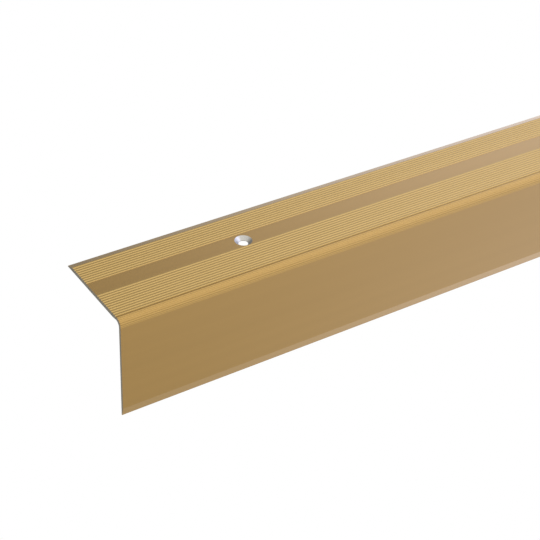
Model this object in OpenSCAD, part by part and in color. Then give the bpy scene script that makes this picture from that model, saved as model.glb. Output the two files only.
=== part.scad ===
// Stair nosing: one length of extruded, gold anodised aluminium angle.
// A ribbed tread leg and a smooth riser leg meet in a rounded, finely
// grooved nose; the tread leg has a plain band with countersunk screw
// holes. The piece lies with its nose up, on the two thin long edges.

/* [Profile] */
// Length of the piece
length = 1000; // [600:10:2000]
// Width of the tread leg, riser face to back edge
tread_w = 40; // [39.5:0.5:60]
// Height of the riser leg, rib tops to bottom edge
riser_h = 42.7; // [30:0.1:60]
// Thickness of the tread leg under its ribs
tread_t = 1.46; // [1.2:0.02:2]
// Thickness of the riser leg
riser_t = 1.15; // [1:0.05:2]
// Outer radius of the nose
nose_r = 2.5; // [2:0.1:2.6]
// Radius of the inside corner
inner_r = 2.1; // [0.5:0.1:2.5]
// Thickness of the tread leg at the inside corner, under its ribs
corner_t = 1.1; // [1:0.05:1.2]
// Distance from the riser face at which the tread leg has its full thickness
corner_y = 5.4; // [5:0.1:8]
// Thickness of the two long thin edges
edge_t = 0.4; // [0.3:0.05:0.8]
// Width of the bevel along the back edge of the tread leg
tread_bevel = 3.1; // [2:0.1:3.1]
// Width of the bevel along the bottom edge of the riser leg
riser_bevel = 3.6; // [2:0.1:6]

/* [Ribs] */
// Height of the tread ribs
rib_h = 0.24; // [0.2:0.02:0.4]
// Spacing of the tread ribs
rib_pitch = 1.3; // [1.2:0.05:1.3]
// Width of a tread rib at its foot
rib_foot = 0.9; // [0.7:0.05:1]
// Width of a tread rib at its top
rib_top = 0.46; // [0.2:0.02:0.6]
// Ribs between the nose and the plain band
front_ribs = 11; // [5:1:11]
// Distance of the first front rib from the riser face
front_rib_y = 4.2; // [4.2:0.1:4.4]
// Ribs behind the plain band
back_ribs = 9; // [3:1:9]
// Distance of the first rib behind the band from the riser face
back_rib_y = 25.9; // [25.9:0.1:26]
// Fine ribs round the nose
nose_ribs = 6; // [3:1:6]
// Spacing of the nose ribs along the arc
nose_pitch = 0.8; // [0.75:0.05:0.8]
// Depth of the grooves between the nose ribs
nose_groove = 0.12; // [0.05:0.01:0.15]

/* [Screw holes] */
// Number of screw holes
holes = 5; // [2:1:9]
// Distance of the first and last hole from the ends
hole_end = 62.4; // [30:0.1:100]
// Distance of the hole line from the riser face
hole_y = 21.05; // [21.05:0.05:22]
// Diameter of the through hole
hole_d = 3.6; // [3.2:0.1:4.5]
// Diameter of the countersink at the surface of the band
sink_d = 6.7; // [6:0.1:6.7]
// Length of the straight wall below the countersink
land = 0.2; // [0.1:0.05:0.5]

/* [Hidden] */
$fn = 64;
under = -rib_h - tread_t;             // underside of the tread leg
corner = -rib_h - corner_t;           // underside at the inside corner
arc_len = nose_r * PI / 2;            // length of the nose arc
nose_s0 = -0.1;                       // first nose rib, along the arc
inner_n = 8;                          // steps round the inside corner

// Lying angle: the line through the two resting edges becomes level
lie = atan2(riser_h + under, tread_w - riser_t);
// Height and mid-width of the section once it lies on its edges
lie_z = -(-riser_t * sin(lie) - riser_h * cos(lie));
lie_y0 = (riser_t - edge_t) * cos(lie) - riser_h * sin(lie);
lie_y1 = tread_w * cos(lie) + (under + edge_t) * sin(lie);
lie_y = -(lie_y0 + lie_y1) / 2;

// One tread rib as four points, from its back foot to its front foot
function rib(y) = [
    [y + rib_foot / 2, -rib_h], [y + rib_top / 2, 0],
    [y - rib_top / 2, 0], [y - rib_foot / 2, -rib_h]];

// A point of the nose at arc length s and depth d: flat top, arc, riser face
function skin(s, d) =
    s < 0 ? [nose_r - s, -d]
    : s > arc_len ? [d, -nose_r - (s - arc_len)]
    : let (a = s / nose_r * 180 / PI)
        [nose_r - (nose_r - d) * sin(a), -nose_r + (nose_r - d) * cos(a)];

// One fine nose rib as five points along the skin
function nose_rib(s) = [
    skin(s - 0.3, nose_groove), skin(s - 0.16, 0), skin(s, 0),
    skin(s + 0.16, 0), skin(s + 0.3, nose_groove)];

nose_end = nose_s0 + (nose_ribs - 1) * nose_pitch + 0.3;

section = concat(
    // back edge and its bevel
    [[tread_w, under], [tread_w, under + edge_t],
     [tread_w - tread_bevel, -rib_h]],
    // ribs behind the band, then ribs in front of it
    [for (i = [back_ribs - 1:-1:0]) each rib(back_rib_y + i * rib_pitch)],
    [for (i = [front_ribs - 1:-1:0]) each rib(front_rib_y + i * rib_pitch)],
    // groove behind the nose, then the fine ribs of the nose
    [[nose_r - nose_s0 + 0.42, -rib_h]],
    [for (i = [0:nose_ribs - 1]) each nose_rib(nose_s0 + i * nose_pitch)],
    // riser face, bottom bevel and bottom edge
    [skin(max(nose_end, arc_len) + 0.15, 0),
     [0, -riser_h + riser_bevel], [riser_t - edge_t, -riser_h],
     [riser_t, -riser_h]],
    // riser back, the inside corner, and the slope to the full thickness
    [for (i = [0:inner_n]) let (a = 180 - 90 * i / inner_n)
        [riser_t + inner_r + inner_r * cos(a),
         corner - inner_r + inner_r * sin(a)]],
    [[corner_y, under]]);

// Through hole and countersink, with the surface of the band at z = 0
module screw_hole() {
    slope = (sink_d - hole_d) / 2 / (tread_t - land);
    translate([0, 0, -tread_t - 1]) cylinder(h = tread_t + 1, d = hole_d);
    translate([0, 0, -tread_t + land])
        cylinder(h = tread_t - land + 0.05,
                 r1 = hole_d / 2, r2 = sink_d / 2 + 0.05 * slope);
}

module nosing_profile() {
    color([0.68, 0.53, 0.31])
    translate([0, lie_y, lie_z]) rotate([-lie, 0, 0])
    difference() {
        translate([-length / 2, 0, 0]) rotate([90, 0, 90])
            linear_extrude(height = length) polygon(section);
        for (i = [0:holes - 1])
            translate([-length / 2 + hole_end
                       + i * (length - 2 * hole_end) / (holes - 1),
                       hole_y, -rib_h])
                screw_hole();
    }
}

nosing_profile();
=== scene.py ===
import math

import bpy
import numpy as np
from mathutils import Matrix, Vector


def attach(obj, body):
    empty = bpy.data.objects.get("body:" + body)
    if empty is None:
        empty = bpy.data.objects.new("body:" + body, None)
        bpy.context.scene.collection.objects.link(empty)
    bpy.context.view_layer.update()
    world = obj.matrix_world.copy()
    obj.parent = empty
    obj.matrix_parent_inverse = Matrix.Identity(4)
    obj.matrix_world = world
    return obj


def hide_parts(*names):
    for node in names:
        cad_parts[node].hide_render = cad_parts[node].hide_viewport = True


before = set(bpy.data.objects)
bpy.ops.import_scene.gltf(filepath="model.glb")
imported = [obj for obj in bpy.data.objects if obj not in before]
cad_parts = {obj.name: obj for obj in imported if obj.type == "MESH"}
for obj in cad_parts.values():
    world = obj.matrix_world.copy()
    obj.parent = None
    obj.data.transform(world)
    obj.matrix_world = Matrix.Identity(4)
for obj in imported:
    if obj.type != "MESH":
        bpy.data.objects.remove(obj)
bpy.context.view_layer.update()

# ----------------------------------------------------------------------------
# The section of the profile, in millimetres.  y runs back over the tread,
# z runs up; the riser face is y = 0 and the rib tops are z = 0.
# ----------------------------------------------------------------------------
LENGTH = 1000.0
TREAD_W, RISER_H = 40.0, 42.7
TREAD_T, RISER_T = 1.46, 1.15
NOSE_R, INNER_R, EDGE_T = 2.5, 2.1, 0.4
CORNER_T, CORNER_Y = 1.1, 5.4
TREAD_BEVEL, RISER_BEVEL = 3.1, 3.6
RIB_H, RIB_PITCH, RIB_FOOT, RIB_TOP = 0.24, 1.3, 0.9, 0.46
FRONT_RIBS, FRONT_Y = 11, 4.2
BACK_RIBS, BACK_Y = 9, 25.9
NOSE_RIBS, NOSE_PITCH, NOSE_GROOVE, NOSE_S0 = 6, 0.8, 0.12, -0.1
HOLES, HOLE_END, HOLE_Y = 5, 62.4, 21.05
HOLE_R, SINK_R, LAND = 1.8, 3.35, 0.2
UNDER = -RIB_H - TREAD_T
CORNER = -RIB_H - CORNER_T

# The piece lies nose up on its two thin edges.
LIE = math.atan2(RISER_H + UNDER, TREAD_W - RISER_T)
COS, SIN = math.cos(LIE), math.sin(LIE)
LIE_Z = RISER_T * SIN + RISER_H * COS
LIE_Y = -0.5 * ((RISER_T - EDGE_T) * COS - RISER_H * SIN
                + TREAD_W * COS + (UNDER + EDGE_T) * SIN)


def turn(y, z):
    """A direction of the section, as it lies."""
    return y * COS + z * SIN, -y * SIN + z * COS


def lay(x, y, z):
    """A point of the section in the row frame, in metres."""
    ty, tz = turn(y, z)
    return (x / 1000.0, (ty + LIE_Y) / 1000.0, (tz + LIE_Z) / 1000.0)


def lay_dir(x, y, z):
    ty, tz = turn(y, z)
    return Vector((x, ty, tz))


# ----------------------------------------------------------------------------
# Outline: corners with a fillet radius each
# ----------------------------------------------------------------------------
TOP_FILLET, FOOT_FILLET, BAND_FILLET = 0.29, 0.24, 0.04


def rib(y, back=FOOT_FILLET, front=FOOT_FILLET):
    return [(y + RIB_FOOT / 2, -RIB_H, back), (y + RIB_TOP / 2, 0.0, TOP_FILLET),
            (y - RIB_TOP / 2, 0.0, TOP_FILLET), (y - RIB_FOOT / 2, -RIB_H, front)]


ARC = NOSE_R * math.pi / 2


def skin(s, d):
    """A point of the nose at arc length s and depth d."""
    if s < 0:
        return NOSE_R - s, -d
    if s > ARC:
        return d, -NOSE_R - (s - ARC)
    a = s / NOSE_R
    return (NOSE_R - (NOSE_R - d) * math.sin(a),
            -NOSE_R + (NOSE_R - d) * math.cos(a))


def nose_rib(s):
    shape = ((-0.3, NOSE_GROOVE, 0.07), (-0.16, 0.0, 0.16), (0.0, 0.0, 0.0),
             (0.16, 0.0, 0.16), (0.3, NOSE_GROOVE, 0.07))
    return [(*skin(s + ds, d), r) for ds, d, r in shape]


corners = [(TREAD_W, UNDER, 0.08), (TREAD_W, UNDER + EDGE_T, 0.12),
           (TREAD_W - TREAD_BEVEL, -RIB_H, 0.3)]
for i in range(BACK_RIBS - 1, -1, -1):
    corners += rib(BACK_Y + i * RIB_PITCH,
                   front=BAND_FILLET if i == 0 else FOOT_FILLET)
BAND_FROM = len(corners) - 1
for i in range(FRONT_RIBS - 1, -1, -1):
    corners += rib(FRONT_Y + i * RIB_PITCH,
                   back=BAND_FILLET if i == FRONT_RIBS - 1 else FOOT_FILLET)
# the groove behind the nose, deepest at the foot of the first rib
corners += [(FRONT_Y - RIB_FOOT / 2 - 0.05, -RIB_H - 0.10, 0.05),
            (NOSE_R - NOSE_S0 + 0.45, -RIB_H + 0.04, 0.08)]
for i in range(NOSE_RIBS):
    corners += nose_rib(NOSE_S0 + i * NOSE_PITCH)
nose_end = NOSE_S0 + (NOSE_RIBS - 1) * NOSE_PITCH + 0.3
corners.append((*skin(max(nose_end, ARC) + 0.15, 0.0), 0.1))
corners += [(0.0, -RISER_H + RISER_BEVEL, 0.6),
            (RISER_T - EDGE_T, -RISER_H, 0.12), (RISER_T, -RISER_H, 0.08),
            (RISER_T, CORNER, INNER_R), (RISER_T + INNER_R + 0.02, CORNER, 0.0),
            (CORNER_Y, UNDER, 1.0)]
# two extra points on the flat underside, either side of the hole line
UNDER_FROM = len(corners)
corners += [(HOLE_Y - 6.0, UNDER, 0.0), (HOLE_Y + 6.0, UNDER, 0.0)]


def swing(d, a):
    c, s = math.cos(a), math.sin(a)
    return np.array([c * d[0] - s * d[1], s * d[0] + c * d[1]])


def outline(corners):
    """Points, and for each segment from a point its normals at both ends."""
    n = len(corners)
    at = [np.array(c[:2]) for c in corners]
    radius = [c[2] for c in corners]
    unit, size = [], []
    for i in range(n):
        d = at[(i + 1) % n] - at[i]
        size.append(np.linalg.norm(d))
        unit.append(d / size[-1])

    def outward(d):
        return np.array([d[1], -d[0]])

    out, normals, first = [], [], []
    for i in range(n):
        a, b, r = unit[i - 1], unit[i], radius[i]
        angle = math.atan2(a[0] * b[1] - a[1] * b[0], float(a @ b))
        first.append(len(out))
        if r and abs(angle) > 1e-6:
            # two fillets share the straight between them by their radii
            room = 0.995 * min(size[i - 1] * r / (r + radius[i - 1]),
                               size[i] * r / (r + radius[(i + 1) % n]))
            t = min(r * math.tan(abs(angle) / 2), room)
            start, r = at[i] - a * t, t / math.tan(abs(angle) / 2)
            centre = start + swing(a, math.copysign(math.pi / 2, angle)) * r
            steps = max(2, math.ceil(abs(angle) / math.radians(13)))
            for k in range(steps + 1):
                out.append(centre + swing(start - centre, angle * k / steps))
                if k:
                    normals.append((outward(swing(a, angle * (k - 1) / steps)),
                                    outward(swing(a, angle * k / steps))))
        else:
            out.append(at[i])
        normals.append((outward(b), outward(b)))
    return np.array(out), normals, first


pts, seg_normals, first = outline(corners)
COUNT = len(pts)


def flat_after(corner):
    """The segment that runs along the flat after this corner."""
    return (first[(corner + 1) % len(corners)] - 1) % COUNT


BAND_SEG = flat_after(BAND_FROM)
UNDER_SEG = flat_after(UNDER_FROM)
run = np.concatenate([[0.0], np.cumsum(np.linalg.norm(
    np.roll(pts, -1, 0) - pts, axis=1))])

# ----------------------------------------------------------------------------
# The mesh: rings along the length, hole cells in the band and the underside.
# Two maps go with it: Surface follows the skin and turns round each hole, and
# OFBake lays the skin, the holes and the two ends side by side.
# ----------------------------------------------------------------------------
hole_x = [-LENGTH / 2 + HOLE_END + i * (LENGTH - 2 * HOLE_END) / (HOLES - 1)
          for i in range(HOLES)]
CELL = 5.0
ROUND = 96
rings = sorted({round(x, 6) for x in
                [x for x in np.linspace(-LENGTH / 2, LENGTH / 2, 25)
                 if all(abs(x - h) > CELL + 3 for h in hole_x)]
                + [h + s * CELL for h in hole_x for s in (-1, 1)]})

verts, places, faces, face_mat = [], [], [], []
loop_normals, loop_surface, loop_bake = [], [], []
SKIN, SINK, CUT = 0, 1, 2


def add_vert(x, y, z):
    places.append((x, y, z))
    verts.append(lay(x, y, z))
    return len(verts) - 1


def add_face(ids, normals, mat, surface, bake):
    faces.append(ids)
    face_mat.append(mat)
    loop_normals.extend(normals)
    loop_surface.extend(surface)
    loop_bake.extend(bake)


def unroll(x, s):
    return (x + LENGTH / 2) / 1000.0, s / 1000.0


def skin_bake(x, s):
    return 0.003 + 0.994 * (x / LENGTH + 0.5), 0.003 + 0.84 * s / run[-1]


ring_at = []
for x in rings:
    ring_at.append(len(verts))
    for y, z in pts:
        add_vert(x, y, z)

for k in range(len(rings) - 1):
    x0, x1 = rings[k], rings[k + 1]
    number = next((m for m, h in enumerate(hole_x) if abs((x0 + x1) / 2 - h) < 1e-3
                   and abs(x1 - x0 - 2 * CELL) < 1e-3), None)
    for i in range(COUNT):
        if number is not None and i in (BAND_SEG, UNDER_SEG):
            continue
        j = (i + 1) % COUNT
        na, nb = (lay_dir(0, *n) for n in seg_normals[i])
        where = [(x0, run[i]), (x0, run[i + 1]), (x1, run[i + 1]), (x1, run[i])]
        add_face([ring_at[k] + i, ring_at[k] + j, ring_at[k + 1] + j, ring_at[k + 1] + i],
                 [na, nb, nb, na], SKIN,
                 [unroll(*w) for w in where], [skin_bake(*w) for w in where])
    if number is None:
        continue

    # the hole: rings of points from the rim of the countersink to the underside
    hole = hole_x[number]
    depth = TREAD_T - LAND
    steps = [(SINK_R, -RIB_H), (SINK_R - 0.04, -RIB_H - 0.022)]
    for q in (0.33, 0.66, 1.0):
        r = SINK_R - 0.04 + (HOLE_R - SINK_R + 0.04) * q
        steps.append((r, -RIB_H - 0.022 + (-depth + 0.022) * q))
    steps += [(HOLE_R, UNDER + 0.05), (HOLE_R + 0.05, UNDER)]
    loops = []
    for r, z in steps:
        loops.append(len(verts))
        for m in range(ROUND):
            a = 2 * math.pi * m / ROUND
            add_vert(hole + r * math.cos(a), HOLE_Y + r * math.sin(a), z)

    def sink_bake(m, p):
        r, a = 0.056 - 0.006 * p, 2 * math.pi * m / ROUND
        return 0.35 + 0.13 * number + r * math.cos(a), 0.922 + r * math.sin(a)

    for p in range(len(steps) - 1):
        (ra, za), (rb, zb) = steps[p], steps[p + 1]
        dr, dz = rb - ra, zb - za
        slant = math.hypot(dr, dz)
        nr, nz = dz / slant, -dr / slant   # towards the axis and up
        for m in range(ROUND):
            q = (m + 1) % ROUND
            n0, n1 = (lay_dir(nr * math.cos(a), nr * math.sin(a), nz)
                      for a in (2 * math.pi * m / ROUND, 2 * math.pi * (m + 1) / ROUND))
            where = [(m, p), (m + 1, p), (m + 1, p + 1), (m, p + 1)]
            add_face([loops[p] + m, loops[p] + q, loops[p + 1] + q, loops[p + 1] + m],
                     [n0, n1, n1, n0], SINK,
                     [(u / ROUND, v / 8) for u, v in where],
                     [sink_bake(u, v) for u, v in where])

    # the flat around the rim above, and around the mouth below
    for seg, loop, up in ((BAND_SEG, loops[0], 1), (UNDER_SEG, loops[-1], -1)):
        n = lay_dir(0, 0, up)
        square = {(1 if ring > k else -1, 1 if pts[e][0] > HOLE_Y else -1): ring_at[ring] + e
                  for ring in (k, k + 1) for e in (seg, (seg + 1) % COUNT)}

        def corner_at(m):
            a = 2 * math.pi * (m + 0.5) / ROUND
            return square[(1 if math.cos(a) > 0 else -1, 1 if math.sin(a) > 0 else -1)]

        def add_flat(tri):
            tri = tri if up > 0 else tri[::-1]
            where = [(places[v][0], run[seg] + abs(places[v][1] - pts[seg][0])) for v in tri]
            add_face(tri, [n] * 3, SKIN,
                     [unroll(*w) for w in where], [skin_bake(*w) for w in where])

        for m in range(ROUND):
            q = (m + 1) % ROUND
            c, c2 = corner_at(m), corner_at(m + 1)
            add_flat([loop + q, loop + m, c])
            if c2 != c:
                add_flat([loop + q, c, c2])

for ring, sign, left in ((0, -1, 0.01), (len(rings) - 1, 1, 0.155)):
    ids = [ring_at[ring] + i for i in range(COUNT)]
    if sign < 0:
        ids.reverse()
    add_face(ids, [Vector((sign, 0, 0))] * COUNT, CUT,
             [(places[v][1] / 1000, places[v][2] / 1000) for v in ids],
             [(left + 0.13 * places[v][1] / 43.0, 0.99 + 0.13 * places[v][2] / 43.0)
              for v in ids])

mesh = bpy.data.meshes.new("nosing")
mesh.from_pydata(verts, [], faces)
mesh.polygons.foreach_set("material_index", np.array(face_mat, np.int32))
mesh.polygons.foreach_set("use_smooth", np.ones(len(faces), bool))
for name, values in (("Surface", loop_surface), ("OFBake", loop_bake)):
    layer = mesh.uv_layers.new(name=name)
    layer.uv.foreach_set("vector", np.array(values, np.float32).ravel())
mesh.validate()
mesh.update()
mesh.normals_split_custom_set([tuple(n.normalized()) for n in loop_normals])
nosing = bpy.data.objects.new("nosing", mesh)
bpy.context.scene.collection.objects.link(nosing)


# ----------------------------------------------------------------------------
# Materials
# ----------------------------------------------------------------------------
class Nodes:
    def __init__(self, name):
        self.material = bpy.data.materials.new(name)
        self.material.use_nodes = True
        self.tree = self.material.node_tree
        self.tree.nodes.clear()
        self.out = self.new("ShaderNodeOutputMaterial")
        self.bsdf = self.new("ShaderNodeBsdfPrincipled")
        self.link(self.bsdf.outputs[0], self.out.inputs["Surface"])

    def new(self, kind, **values):
        node = self.tree.nodes.new(kind)
        for key, value in values.items():
            setattr(node, key, value)
        return node

    def link(self, a, b):
        self.tree.links.new(a, b)

    def place(self):
        return self.new("ShaderNodeTexCoord").outputs["Object"]

    def noise(self, where, scale, detail=3.0, rough=0.55):
        """Noise drawn out by scale along the three axes of where."""
        mapping = self.new("ShaderNodeMapping")
        mapping.inputs["Scale"].default_value = scale
        noise = self.new("ShaderNodeTexNoise")
        noise.inputs["Scale"].default_value = 1.0
        noise.inputs["Detail"].default_value = detail
        noise.inputs["Roughness"].default_value = rough
        self.link(where, mapping.inputs["Vector"])
        self.link(mapping.outputs["Vector"], noise.inputs["Vector"])
        return noise.outputs["Fac"]

    def part(self, where, axis):
        split = self.new("ShaderNodeSeparateXYZ")
        self.link(where, split.inputs["Vector"])
        return split.outputs[axis]

    def math(self, kind, one, two=0.0):
        node = self.new("ShaderNodeMath", operation=kind)
        for socket, v in zip(node.inputs, (one, two)):
            if isinstance(v, float):
                socket.default_value = v
            else:
                self.link(v, socket)
        return node.outputs["Value"]

    def span(self, value, low, high, at=(0.3, 0.7), smooth=False):
        """value from at[0]..at[1] spread over low..high."""
        node = self.new("ShaderNodeMapRange")
        if smooth:
            node.interpolation_type = "SMOOTHSTEP"
        for key, v in zip(("From Min", "From Max", "To Min", "To Max"), (*at, low, high)):
            node.inputs[key].default_value = v
        self.link(value, node.inputs["Value"])
        return node.outputs["Result"]

    def ramp(self, value, stops):
        node = self.new("ShaderNodeValToRGB")
        ramp = node.color_ramp
        while len(ramp.elements) < len(stops):
            ramp.elements.new(0.5)
        for e, (at, colour) in zip(ramp.elements, stops):
            e.position, e.color = at, (*colour, 1.0)
        self.link(value, node.inputs["Fac"])
        return node.outputs["Color"]

    def dim(self, colour, value):
        """colour times a number."""
        node = self.new("ShaderNodeVectorMath", operation="SCALE")
        self.link(colour, node.inputs["Vector"])
        self.link(value, node.inputs["Scale"])
        return node.outputs["Vector"]

    def times(self, one, two, gain):
        """Two colours multiplied, times a constant."""
        product = self.new("ShaderNodeVectorMath", operation="MULTIPLY")
        scale = self.new("ShaderNodeVectorMath", operation="SCALE")
        scale.inputs["Scale"].default_value = gain
        self.link(one, product.inputs[0])
        self.link(two, product.inputs[1])
        self.link(product.outputs["Vector"], scale.inputs["Vector"])
        return scale.outputs["Vector"]

    def bump(self, value, strength, distance):
        node = self.new("ShaderNodeBump")
        node.inputs["Strength"].default_value = strength
        node.inputs["Distance"].default_value = distance
        self.link(value, node.inputs["Height"])
        return node.outputs["Normal"]


GOLD_DARK, GOLD_LIGHT = (0.326, 0.198, 0.0544), (0.346, 0.210, 0.0578)

# Satin anodised skin: fine drawing lines along the length and broad faint bands.
# The film has one colour on the plain faces and a yellower one on the tread ribs.
# The fine ribs of the nose get a paler, brighter tint between the two, which is partly
# film colour and partly painted light: an even brightening that stands in for the
# light the rounded nose catches.
NOSE_AT = first[BAND_FROM + 4 * FRONT_RIBS + 3]      # first corner of the nose ribs
RISER_AT = first[BAND_FROM + 4 * FRONT_RIBS + 3 + 5 * NOSE_RIBS]
# the third tint, on the fine ribs of the nose, is partly painted light: the nose is made
# brighter all round as if lit
FLAT, RIBS, NOSE_TINT_AND_PAINTED_LIGHT = (1.0, 1.0, 1.0), (1.09, 1.23, 1.66), (1.10, 1.16, 1.40)
ZONES = [(run[first[3]] - 0.05, FLAT), (run[first[3]] + 0.05, RIBS),
         (run[BAND_SEG] - 0.05, RIBS), (run[BAND_SEG] + 0.05, FLAT),
         (run[BAND_SEG + 1] - 0.05, FLAT), (run[BAND_SEG + 1] + 0.05, RIBS),
         (run[NOSE_AT] - 0.05, RIBS), (run[NOSE_AT] + 0.05, NOSE_TINT_AND_PAINTED_LIGHT),
         (run[RISER_AT] + 0.1, NOSE_TINT_AND_PAINTED_LIGHT), (run[RISER_AT] + 0.2, FLAT)]
# The clear film mirrors less on the ribs than on the plain faces, and the metal
# there is a little duller.
PLAIN, RIBBED = 0.60, 0.20
FILM = [(run[first[3]] - 0.05, PLAIN), (run[first[3]] + 0.05, RIBBED),
        (run[BAND_SEG] - 0.05, RIBBED), (run[BAND_SEG] + 0.05, PLAIN),
        (run[BAND_SEG + 1] - 0.05, PLAIN), (run[BAND_SEG + 1] + 0.05, RIBBED),
        (run[RISER_AT] + 0.1, RIBBED), (run[RISER_AT] + 0.2, PLAIN)]
gold = Nodes("gold_anodised")
b = gold.bsdf.inputs
b["Metallic"].default_value = 1.0
b["IOR"].default_value = 1.6
where = gold.place()
fine = gold.noise(where, (6.0, 5200.0, 5200.0), 3.0)
wide = gold.noise(where, (1.3, 130.0, 130.0), 2.0)
across = gold.part(gold.new("ShaderNodeUVMap", uv_map="Surface").outputs["UV"], "Y")
# film tints by zone across the section, with painted light in the brighter tint on the nose
# ribs
zones = gold.ramp(gold.math("MULTIPLY", across, 1000.0 / run[-1]),
                  [(at / run[-1], [v / 2 for v in tint]) for at, tint in ZONES])
shade = gold.ramp(wide, [(0.30, GOLD_DARK), (0.70, GOLD_LIGHT)])
gold.link(gold.times(shade, zones, 2.0), b["Base Color"])
film = gold.ramp(gold.math("MULTIPLY", across, 1000.0 / run[-1]),
                 [(at / run[-1], (v, v, v)) for at, v in FILM])
gold.link(film, b["Coat Weight"])
duller = gold.span(film, 0.0, 0.05, at=(PLAIN, RIBBED))
gold.link(gold.math("ADD", gold.span(fine, 0.30, 0.38), duller), b["Roughness"])
gold.link(gold.bump(fine, 0.05, 0.00002), b["Normal"])
b["Coat Roughness"].default_value = 0.16
b["Coat IOR"].default_value = 1.65

# Bare countersink: turned metal, brushed round the cone.
bare = Nodes("bare_countersink")
b = bare.bsdf.inputs
b["Metallic"].default_value = 1.0
b["Anisotropic"].default_value = 0.75
b["Anisotropic Rotation"].default_value = 0.25
uv = bare.new("ShaderNodeUVMap", uv_map="Surface").outputs["UV"]
marks = bare.noise(uv, (34.0, 5.0, 1.0), 2.0)
bare.link(bare.ramp(marks, [(0.3, (0.35, 0.35, 0.37)), (0.7, (0.43, 0.43, 0.45))]),
          b["Base Color"])
bare.link(bare.span(marks, 0.20, 0.34), b["Roughness"])
tangent = bare.new("ShaderNodeTangent", direction_type="UV_MAP", uv_map="Surface")
bare.link(tangent.outputs["Tangent"], b["Tangent"])

# Sawn ends: bare grey metal with fine saw marks.
cut = Nodes("sawn_end")
b = cut.bsdf.inputs
b["Metallic"].default_value = 1.0
saw = cut.noise(cut.place(), (900.0, 3600.0, 700.0), 2.0)
cut.link(cut.ramp(saw, [(0.3, (0.36, 0.34, 0.32)), (0.7, (0.46, 0.44, 0.41))]),
         b["Base Color"])
cut.link(cut.span(saw, 0.44, 0.58), b["Roughness"])
cut.link(cut.bump(saw, 0.15, 0.00003), b["Normal"])

for m in (gold, bare, cut):
    mesh.materials.append(m.material)

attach(nosing, "root")
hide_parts("nosing_profile")

# ----------------------------------------------------------------------------
# Stage: pale floor, soft light, camera
# ----------------------------------------------------------------------------
floor_mesh = bpy.data.meshes.new("floor")
H = 4.0
floor_mesh.from_pydata([(-H, -H, 0), (H, -H, 0), (H, H, 0), (-H, H, 0)], [], [(0, 1, 2, 3)])
floor = bpy.data.objects.new("floor", floor_mesh)
bpy.context.scene.collection.objects.link(floor)


def white_to_camera(tree, others, to):
    """A bright, even white where the camera looks at it, and others elsewhere."""
    white = tree.nodes.new("ShaderNodeEmission" if to.node.type == "OUTPUT_MATERIAL"
                           else "ShaderNodeBackground")
    white.inputs["Color"].default_value = (1.0, 1.0, 1.0, 1.0)
    path = tree.nodes.new("ShaderNodeLightPath")
    mix = tree.nodes.new("ShaderNodeMixShader")
    tree.links.new(path.outputs["Is Camera Ray"], mix.inputs["Fac"])
    tree.links.new(others, mix.inputs[1])
    tree.links.new(white.outputs[0], mix.inputs[2])
    tree.links.new(mix.outputs[0], to)


pale = Nodes("pale_floor")
pale.bsdf.inputs["Base Color"].default_value = (0.62, 0.62, 0.62, 1.0)
pale.bsdf.inputs["Roughness"].default_value = 0.9
pale.bsdf.inputs["Specular IOR Level"].default_value = 0.1
white_to_camera(pale.tree, pale.bsdf.outputs[0], pale.out.inputs["Surface"])
floor_mesh.materials.append(pale.material)
floor.visible_glossy = False

# The studio: soft light all round, from straight below (-1) over the horizon
# (0) to straight above (1).  Each height has three levels, for the left, the
# middle and the right, in front of the piece and behind it.
HEIGHTS = (-1.0, -0.5, -0.2, 0.0, 0.2, 0.5, 1.0)
FRONT = [(0.35, 0.83, 1.17), (0.42, 0.94, 1.61), (0.85, 0.93, 1.53),
         (0.90, 0.65, 1.38), (1.07, 1.17, 1.00), (1.22, 1.19, 1.46),
         (1.36, 1.20, 2.22)]
BEHIND = [(0.35, 0.62, 1.19), (0.38, 0.36, 1.64), (0.75, 0.46, 1.43),
          (0.96, 0.83, 1.37), (1.22, 1.33, 1.86), (1.40, 1.67, 2.48),
          (1.54, 1.73, 2.77)]
BRIGHTEST = 8.0
world = bpy.data.worlds.new("studio")
world.use_nodes = True
bpy.context.scene.world = world
tree = world.node_tree
ground = tree.nodes["Background"]
look = tree.nodes.new("ShaderNodeTexCoord")
split = tree.nodes.new("ShaderNodeSeparateXYZ")
tree.links.new(look.outputs["Generated"], split.inputs["Vector"])


def sky_range(value, low, high, to_low, to_high, smooth=True):
    node = tree.nodes.new("ShaderNodeMapRange")
    node.interpolation_type = "SMOOTHSTEP" if smooth else "LINEAR"
    for key, v in zip(("From Min", "From Max", "To Min", "To Max"),
                      (low, high, to_low, to_high)):
        node.inputs[key].default_value = v
    tree.links.new(value, node.inputs["Value"])
    return node.outputs["Result"]


def sky_ramp(value, levels):
    node = tree.nodes.new("ShaderNodeValToRGB")
    ramp = node.color_ramp
    ramp.interpolation = "LINEAR"
    while len(ramp.elements) < len(levels):
        ramp.elements.new(0.5)
    for e, z, level in zip(ramp.elements, HEIGHTS, levels):
        e.position, e.color = (z + 1) / 2, (*[v / BRIGHTEST for v in level], 1.0)
    tree.links.new(value, node.inputs["Fac"])
    return node.outputs["Color"]


def sky_math(kind, one, two):
    node = tree.nodes.new("ShaderNodeMath")
    node.operation = kind
    for socket, v in zip(node.inputs, (one, two)):
        if isinstance(v, float):
            socket.default_value = v
        else:
            tree.links.new(v, socket)
    return node.outputs["Value"]


height = sky_range(split.outputs["Z"], -1.0, 1.0, 0.0, 1.0, smooth=False)
blend = tree.nodes.new("ShaderNodeMixRGB")
tree.links.new(sky_range(split.outputs["Y"], -0.45, 0.45, 0.0, 1.0), blend.inputs[0])
tree.links.new(sky_ramp(height, FRONT), blend.inputs[1])
tree.links.new(sky_ramp(height, BEHIND), blend.inputs[2])
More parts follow.
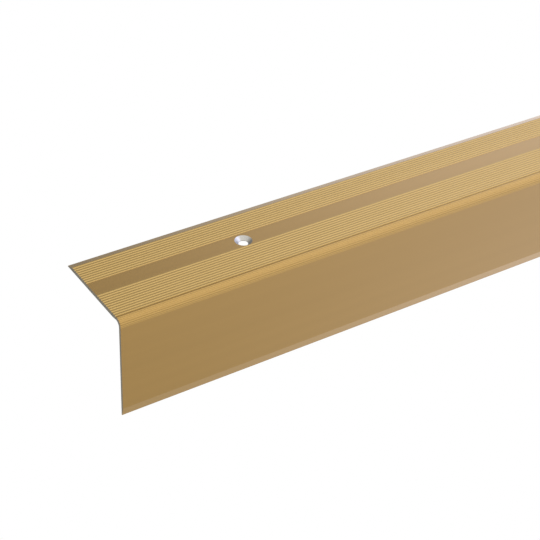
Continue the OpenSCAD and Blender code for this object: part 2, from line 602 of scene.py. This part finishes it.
# the light is a shade warmer on the left and cooler on the right
tone = tree.nodes.new("ShaderNodeMixRGB")
tone.inputs[1].default_value = (1.03, 0.99, 0.86, 1.0)
tone.inputs[2].default_value = (0.98, 0.99, 1.12, 1.0)
tree.links.new(sky_range(split.outputs["X"], 0.3, 0.7, 0.0, 1.0), tone.inputs[0])
tree.links.new(tone.outputs[0], ground.inputs["Color"])
middle = sky_range(split.outputs["X"], -0.2, 0.3, 0.0, 1.0)
right_side = sky_range(split.outputs["X"], 0.3, 0.7, 0.0, 1.0)
shares = tree.nodes.new("ShaderNodeCombineXYZ")
tree.links.new(sky_math("SUBTRACT", 1.0, middle), shares.inputs["X"])
tree.links.new(sky_math("SUBTRACT", middle, right_side), shares.inputs["Y"])
tree.links.new(right_side, shares.inputs["Z"])
level = tree.nodes.new("ShaderNodeVectorMath")
level.operation = "DOT_PRODUCT"
tree.links.new(blend.outputs[0], level.inputs[0])
tree.links.new(shares.outputs[0], level.inputs[1])
tree.links.new(sky_math("MULTIPLY", level.outputs["Value"], BRIGHTEST),
               ground.inputs["Strength"])
white_to_camera(tree, ground.outputs[0],
                next(n for n in tree.nodes if n.type == "OUTPUT_WORLD").inputs["Surface"])

# The photo's camera, solved from the perspective of the three edge directions:
# the axes of the fitted piece (along, back, up) seen by the camera
# (right, down, forward), and the inside corner of the near end.
ALONG = Vector((0.83999604, -0.28966045, 0.45880657))
BACK = Vector((-0.54134084, -0.50479594, 0.67240699))
UPWARD = Vector((0.03683398, -0.81318995, -0.58083162))
FOCAL, CORNER_PX, CORNER_PY, CORNER_DEPTH = 1429.35, 118.39, 323.3, 487.59
seen = Vector(((CORNER_PX - 270) / FOCAL, (CORNER_PY - 270) / FOCAL, 1.0)) * CORNER_DEPTH
offset = lay_dir(-seen.dot(ALONG), -seen.dot(BACK), -seen.dot(UPWARD))
corner = Vector(lay(-LENGTH / 2, 1.5, -1.7))
right = lay_dir(ALONG.x, BACK.x, UPWARD.x)
down = lay_dir(ALONG.y, BACK.y, UPWARD.y)
ahead = lay_dir(ALONG.z, BACK.z, UPWARD.z)
camera_data = bpy.data.cameras.new("camera")
camera_data.sensor_width = 36.0
camera_data.lens = FOCAL / 540.0 * 36.0
camera_data.clip_start, camera_data.clip_end = 0.01, 50.0
camera = bpy.data.objects.new("camera", camera_data)
turned = Matrix((right, -down, -ahead)).transposed().to_4x4()
turned.translation = corner + offset / 1000.0
camera.matrix_world = turned
bpy.context.scene.collection.objects.link(camera)
bpy.context.scene.camera = camera
bpy.context.scene.view_settings.view_transform = "Standard"
